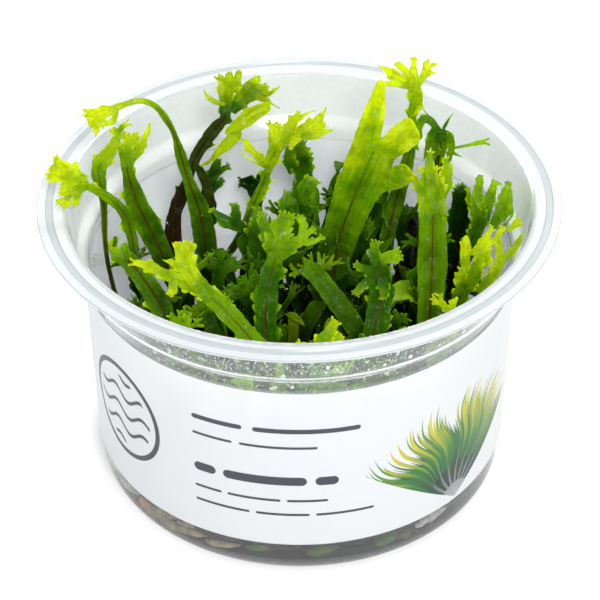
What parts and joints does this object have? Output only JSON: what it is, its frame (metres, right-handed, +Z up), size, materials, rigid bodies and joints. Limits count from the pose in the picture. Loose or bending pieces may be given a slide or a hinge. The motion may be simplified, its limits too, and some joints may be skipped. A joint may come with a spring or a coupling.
{
  "type": "crested java fern in a clear tissue-culture cup",
  "caption": "Clear plastic cup with a flat flange and a plain wrap label, filled with fern plantlets whose green strap fronds end in forked crests above the rim.",
  "frame": {"origin": "middle of the cup's underside, on the surface that it stands on", "axes": "+Z up along the cup's axis; -Y towards the picture's camera; +X to its right"},
  "size_m": [0.1, 0.1, 0.0835],
  "materials": {
    "clear_plastic": "gloss",
    "label_paper": "satin",
    "growth_gel": "gloss",
    "rhizome": "matte",
    "frond_lime": "satin",
    "frond_mid": "satin",
    "frond_deep": "satin",
    "frond_stalk": "satin"
  },
  "bodies": {
    "root": {"cup": "clear_plastic", "label": "label_paper", "growth_gel": "growth_gel", "rhizome_1": "rhizome", "rhizome_2": "rhizome", "rhizome_3": "rhizome", "rhizome_4": "rhizome", "rhizome_5": "rhizome", "rhizome_6": "rhizome", "rhizome_7": "rhizome", "rhizome_8": "rhizome", "frond_01": "frond_lime", "frond_02": "frond_lime", "frond_03": "frond_lime", "frond_04": "frond_deep", "frond_05": "frond_stalk", "frond_06": "frond_deep", "frond_07": "frond_lime", "frond_08": "frond_mid", "frond_09": "frond_lime", "frond_10": "frond_lime", "frond_11": "frond_deep", "frond_12": "frond_mid", "frond_13": "frond_deep", "frond_14": "frond_mid", "frond_15": "frond_lime", "frond_16": "frond_lime", "frond_17": "frond_lime", "frond_18": "frond_mid", "frond_19": "frond_mid", "frond_20": "frond_lime", "frond_21": "frond_lime", "frond_22": "frond_deep", "frond_23": "frond_mid", "frond_24": "frond_mid", "frond_25": "frond_deep", "frond_26": "frond_deep", "frond_27": "frond_mid", "frond_28": "frond_deep", "frond_29": "frond_mid", "frond_30": "frond_mid", "frond_31": "frond_deep", "frond_32": "frond_deep", "frond_33": "frond_deep", "frond_34": "frond_deep", "frond_35": "frond_mid", "frond_36": "frond_mid", "frond_37": "frond_mid", "frond_38": "frond_deep", "frond_39": "frond_mid", "frond_40": "frond_mid", "frond_41": "frond_deep", "frond_42": "frond_mid", "frond_43": "frond_deep", "frond_44": "frond_mid"}
  },
  "joints": []
}
